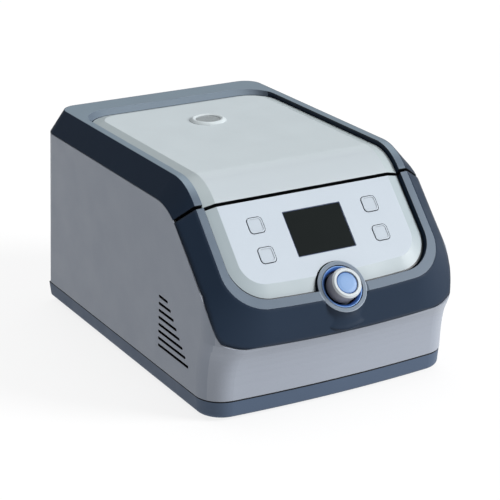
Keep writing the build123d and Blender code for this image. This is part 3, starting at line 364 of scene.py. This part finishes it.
    # relief
    bp = N.new("ShaderNodeBump")
    bp.inputs["Strength"].default_value = grain_bump
    bp.inputs["Distance"].default_value = grain_dist
    L.new(n2.outputs["Fac"], bp.inputs["Height"])
    last = bp
    if peel > 0:
        n5 = N.new("ShaderNodeTexNoise")
        n5.inputs["Scale"].default_value = 220.0
        n5.inputs["Detail"].default_value = 1
        L.new(src, n5.inputs["Vector"])
        bp2 = N.new("ShaderNodeBump")
        bp2.inputs["Strength"].default_value = peel
        bp2.inputs["Distance"].default_value = 0.0004
        L.new(n5.outputs["Fac"], bp2.inputs["Height"])
        L.new(bp.outputs["Normal"], bp2.inputs["Normal"])
        last = bp2
    if bv:
        L.new(bv.outputs["Normal"], bp.inputs["Normal"])
    L.new(last.outputs["Normal"], bsdf.inputs["Normal"])
    bsdf.inputs["Metallic"].default_value = metallic
    bsdf.inputs["Specular IOR Level"].default_value = spec
    bsdf.inputs["Coat Weight"].default_value = coat
    bsdf.inputs["Coat Roughness"].default_value = coat_rough
    bsdf.inputs["IOR"].default_value = ior
    if transmission:
        bsdf.inputs["Transmission Weight"].default_value = transmission
    if emit:
        bsdf.inputs["Emission Color"].default_value = emit
        bsdf.inputs["Emission Strength"].default_value = emit_strength
    return m


def put(name, material):
    o = nodes[name]
    o.data.materials.clear()
    o.data.materials.append(material)


# ------------------------------------------------------------------ finishes, with painted shade and painted highlights laid over them
# near-black painted shade, laid into gaps, slots and seams where shade falls
SHADE_BLACK = (0.0015, 0.0018, 0.0025, 1.0)
# painted shade on the walls of the gap between the lid and the front
gap_shade = (near_gap, SHADE_BLACK, 1.0)
# painted shade on the casing parts seen only through the gap
inside_shade = (near_gap_inside, SHADE_BLACK, 1.0)
# silver casing: the lighter rounded edges are a painted highlight; the darker side walls, the parts seen through the
# gap and the vent slot walls are painted shade
silver = mat("silver_casing", srgb(145, 151, 162), rough=0.42, spec=0.3, var=0.02, speck=0.05, speck_scale=2600, grain=1600,
             grain_bump=0.05, edge=0.2, bevel=0.0006, layers=[(side_wall_shade, srgb(133, 140, 152), 1.0), inside_shade, (slot_walls, SHADE_BLACK, 1.0)])
# slate lid frame: the lighter rounded edges are a painted highlight; the gap walls are painted shade
dark = mat("slate_plastic", srgb(31, 43, 59), rough=0.42, spec=0.12, var=0.05, grain=1500, grain_bump=0.12, edge=0.25,
           edge_highlight_col=srgb(90, 104, 122), bevel=0.0008, layers=[gap_shade])
# slate front: the gap walls are painted shade
dark_front = mat("slate_plastic_front", srgb(33, 46, 63), rough=0.42, spec=0.14, var=0.05, grain=1500, grain_bump=0.12, edge=0.0,
                 bevel=0.004, layers=[gap_shade])
# slate base: near-black painted shade in the seam under the housing; the lighter rounded edges are a painted highlight
dark_base = mat("slate_plastic_base", srgb(72, 86, 106), rough=0.5, spec=0.2, var=0.04, grain=1500, grain_bump=0.15, edge=0.2, bevel=0.0012,
                layers=[(tray_lip, SHADE_BLACK, 0.95)])
# grey trim: the lighter level top is painted light; the near-black walls facing left or right, the dark inner edge of
# the knob ring and the gap walls are painted shade; the lighter line at the ring step and the lighter rounded edges are
# painted highlights
trim = mat("grey_trim", srgb(92, 104, 117), rough=0.38, spec=0.3, metallic=0.1, var=0.03, grain=1500, grain_bump=0.06, edge=0.5,
           edge_highlight_col=srgb(190, 200, 212), bevel=0.0004, layers=[(level, srgb(118, 133, 145), 1.0), (side_wall_shade, srgb(14, 19, 26), 0.9), (ring_line, srgb(150, 160, 172), 0.6), (ring_inner, srgb(16, 20, 34), 0.95), gap_shade])
# light panel: the darker sloping border, the near-black opening walls and outer edge, the dark groove along the trim
# strip and the gap walls are painted shade
light = mat("light_panel", srgb(176, 185, 194), rough=0.4, spec=0.3, var=0.012, speck=0.03, grain=1800, grain_bump=0.04, bevel=0.0006,
            layers=[(panel_slope, srgb(156, 167, 172), 1.0), (off_panel, srgb(18, 22, 28), 0.95), (panel_rim, srgb(22, 26, 33), 0.92), gap_shade])
# lid panel: the darker front and the darker sloping borders are painted shade, as are the gap walls
light_lid = mat("light_lid", srgb(184, 193, 197), rough=0.42, spec=0.3, var=0.012, speck=0.03, grain=1800, grain_bump=0.04, bevel=0.0006,
                layers=[(lid_nose, srgb(171, 179, 184), 1.0), (lid_slope, srgb(162, 172, 175), 1.0), gap_shade])
ring_light = mat("sight_ring", srgb(190, 198, 201), rough=0.36, spec=0.35, var=0.012, grain=1800, grain_bump=0.04, bevel=0.0005)
# display window: the lighter bluish line round its edge is a painted highlight
lcd = mat("display_window", srgb(24, 28, 28), rough=0.12, rough_var=0.02, spec=0.25, var=0.05, grain_bump=0.0, bevel=0.0004,
          layers=[(lens_rim_highlight, srgb(88, 98, 126), 0.85)])
# keys: their dark side walls are painted shade
key = mat("key_plastic", srgb(172, 181, 190), rough=0.4, spec=0.3, var=0.015, grain=1800, grain_bump=0.05, bevel=0.0004,
          layers=[(off_panel, srgb(56, 62, 72), 0.92)])
knob_m = mat("knob_metal", srgb(200, 204, 210), rough=0.34, spec=0.4, var=0.02, grain=700, grain_bump=0.03, bevel=0.0005,
             profile=[(11.0, srgb(178, 186, 190)), (15.55, srgb(184, 190, 194)), (15.68, srgb(132, 132, 140)), (16.0, srgb(128, 129, 137))])
cap_m = mat("knob_cap_blue", srgb(120, 158, 215), rough=0.38, spec=0.3, var=0.04, grain=1500, grain_bump=0.05, bevel=0.0003,
            profile=[(0.0, srgb(116, 148, 190)), (9.6, srgb(110, 143, 187)), (10.2, srgb(72, 106, 160)), (10.9, srgb(44, 72, 124))])
# blue light ring: its own glow is brightest in the band near the outer edge; the darkening towards the inner edge and
# the dark line at the outer edge are painted shade of the gaps beside it, and the glow takes the same colour
glow_m = mat("light_ring", srgb(50, 100, 200), rough=0.3, spec=0.3, var=0.05, grain=1500, grain_bump=0.03, bevel=0.0003, glow=True, emit_strength=0.1,
             profile=[(17.4, srgb(6, 8, 22)), (17.9, srgb(20, 36, 90)), (18.6, srgb(46, 84, 152)), (20.1, srgb(62, 104, 172)), (20.75, srgb(130, 164, 214)),
                      (21.2, srgb(128, 162, 212)), (21.28, srgb(10, 18, 50))])
rubber = mat("black_rubber", srgb(28, 28, 30), rough=0.75, var=0.1, grain=1200, grain_bump=0.3, bevel=0.0006)
black = mat("black_plastic", srgb(24, 25, 28), rough=0.45, var=0.1, grain=1500, grain_bump=0.2, bevel=0.0004)
steel = mat("steel", srgb(176, 178, 182), rough=0.3, metallic=1.0, var=0.03, grain=260, grain_bump=0.15, brushed=(1, 1, 14), bevel=0.0003)
steel_bowl = mat("steel_bowl", srgb(184, 187, 190), rough=0.28, metallic=1.0, var=0.03, grain=240, grain_bump=0.12, brushed=(1, 1, 16), bevel=0.0005)
alu = mat("anodised_aluminium", srgb(150, 154, 160), rough=0.36, metallic=1.0, var=0.04, grain=1200, grain_bump=0.1, bevel=0.0005)
# rotor: the lighter rounded edges are a painted highlight
alu_dark = mat("anodised_rotor", srgb(60, 62, 68), rough=0.34, metallic=0.9, var=0.05, grain=1200, grain_bump=0.1, edge=0.3, edge_highlight_col=srgb(150, 152, 158), bevel=0.0005)
brass = mat("brass", srgb(200, 165, 90), rough=0.3, metallic=1.0, var=0.04, grain=600, grain_bump=0.1, bevel=0.0002)
copper = mat("copper_winding", srgb(170, 96, 52), rough=0.35, metallic=0.8, var=0.12, grain=500, grain_bump=0.5, brushed=(1, 1, 30), bevel=0.0004)
iron = mat("lacquered_iron", srgb(58, 58, 62), rough=0.5, metallic=0.5, var=0.1, grain=500, grain_bump=0.4, brushed=(40, 1, 1), bevel=0.0004)
pcb = mat("solder_mask", srgb(24, 88, 52), rough=0.35, var=0.12, grain=420, grain_bump=0.2, speck=0.12, speck_scale=500, bevel=0.0002)
glass = mat("sight_glass", srgb(212, 221, 224), rough=0.06, var=0.02, grain_bump=0.0, coat=0.4, coat_rough=0.03, transmission=0.6, ior=1.49, bevel=0.0004)
# deck: painted shade where it is seen through the gap
deck_m = mat("deck_plastic", srgb(170, 176, 183), rough=0.45, spec=0.35, var=0.03, grain=1500, grain_bump=0.12, bevel=0.0006, layers=[inside_shade])

finish = {
    "base_tray": dark_base, "rubber_feet": rubber, "housing_shell": silver, "case_screws": steel, "front_bezel": dark_front, "fascia_trim": trim,
    "control_fascia": light, "display_lens": lcd, "display_module": black, "control_board": pcb, "board_screws": steel,
    "tact_switches": black, "button_left_upper": key, "button_left_lower": key, "button_right_upper": key, "button_right_lower": key,
    "knob_light_ring": glow_m, "encoder_body": steel, "knob_plunger": steel, "knob_shell": knob_m, "knob_cap": cap_m,
    "lid_frame": dark, "lid_trim": trim, "lid_panel": light_lid, "sight_glass_ring": ring_light, "sight_glass": glass, "lid_liner": deck_m,
    "lid_screws": steel, "lid_hinge_arms": steel, "hinge_brackets": steel, "hinge_pins": steel, "bracket_screws": steel,
    "lid_striker": steel, "lock_unit": black, "lock_bolt": steel, "top_deck": deck_m, "deck_screws": steel, "chamber_bowl": steel_bowl,
    "bowl_gasket": rubber, "rotor_body": alu_dark, "rotor_nut": alu, "motor_shaft": steel, "motor_magnets": steel, "motor_stator": copper,
    "motor_housing": alu, "motor_bearings": steel, "motor_mount_plate": alu, "vibration_dampers": rubber, "damper_bolts": steel,
    "board_standoffs": brass, "power_board": pcb, "heatsink": alu, "transformer": iron, "mains_filter": steel, "power_inlet": black,
    "inlet_pins": brass, "fuse_drawer": black, "switch_frame": black, "power_rocker": black}
for n in nodes:
    put(n, finish[n])

# ------------------------------------------------------------------ floor and light
me = bpy.data.meshes.new("floor")
S = 6.0
me.from_pydata([(-S, -S, 0), (S, -S, 0), (S, S, 0), (-S, S, 0)], [], [(0, 1, 2, 3)])
floor = bpy.data.objects.new("floor", me)
scene.collection.objects.link(floor)
fm = bpy.data.materials.new("floor_paper")
fm.use_nodes = True
fb = fm.node_tree.nodes["Principled BSDF"]
fb.inputs["Base Color"].default_value = (0.15, 0.15, 0.151, 1)
fb.inputs["Roughness"].default_value = 0.9
fb.inputs["Specular IOR Level"].default_value = 0.1
fb.inputs["Emission Color"].default_value = (1, 1, 1, 1)
fb.inputs["Emission Strength"].default_value = 0.83
floor.data.materials.append(fm)

world = bpy.data.worlds.new("studio")
scene.world = world
world.use_nodes = True
bg = world.node_tree.nodes["Background"]
bg.inputs["Color"].default_value = (0.97, 0.985, 1.0, 1)
bg.inputs["Strength"].default_value = 0.2


def soft_sun(name, towards, strength, angle):
    """Soft studio light from the direction given."""
    li = bpy.data.lights.new(name, "SUN")
    li.energy = strength
    li.angle = math.radians(angle)
    ob = bpy.data.objects.new(name, li)
    scene.collection.objects.link(ob)
    ob.rotation_euler = Vector(towards).to_track_quat("Z", "Y").to_euler()
    return ob


soft_sun("key_light", (0.66, -0.56, 0.46), 3.9, 24)
soft_sun("top_light", (0.05, 0.33, 0.94), 1.5, 60)
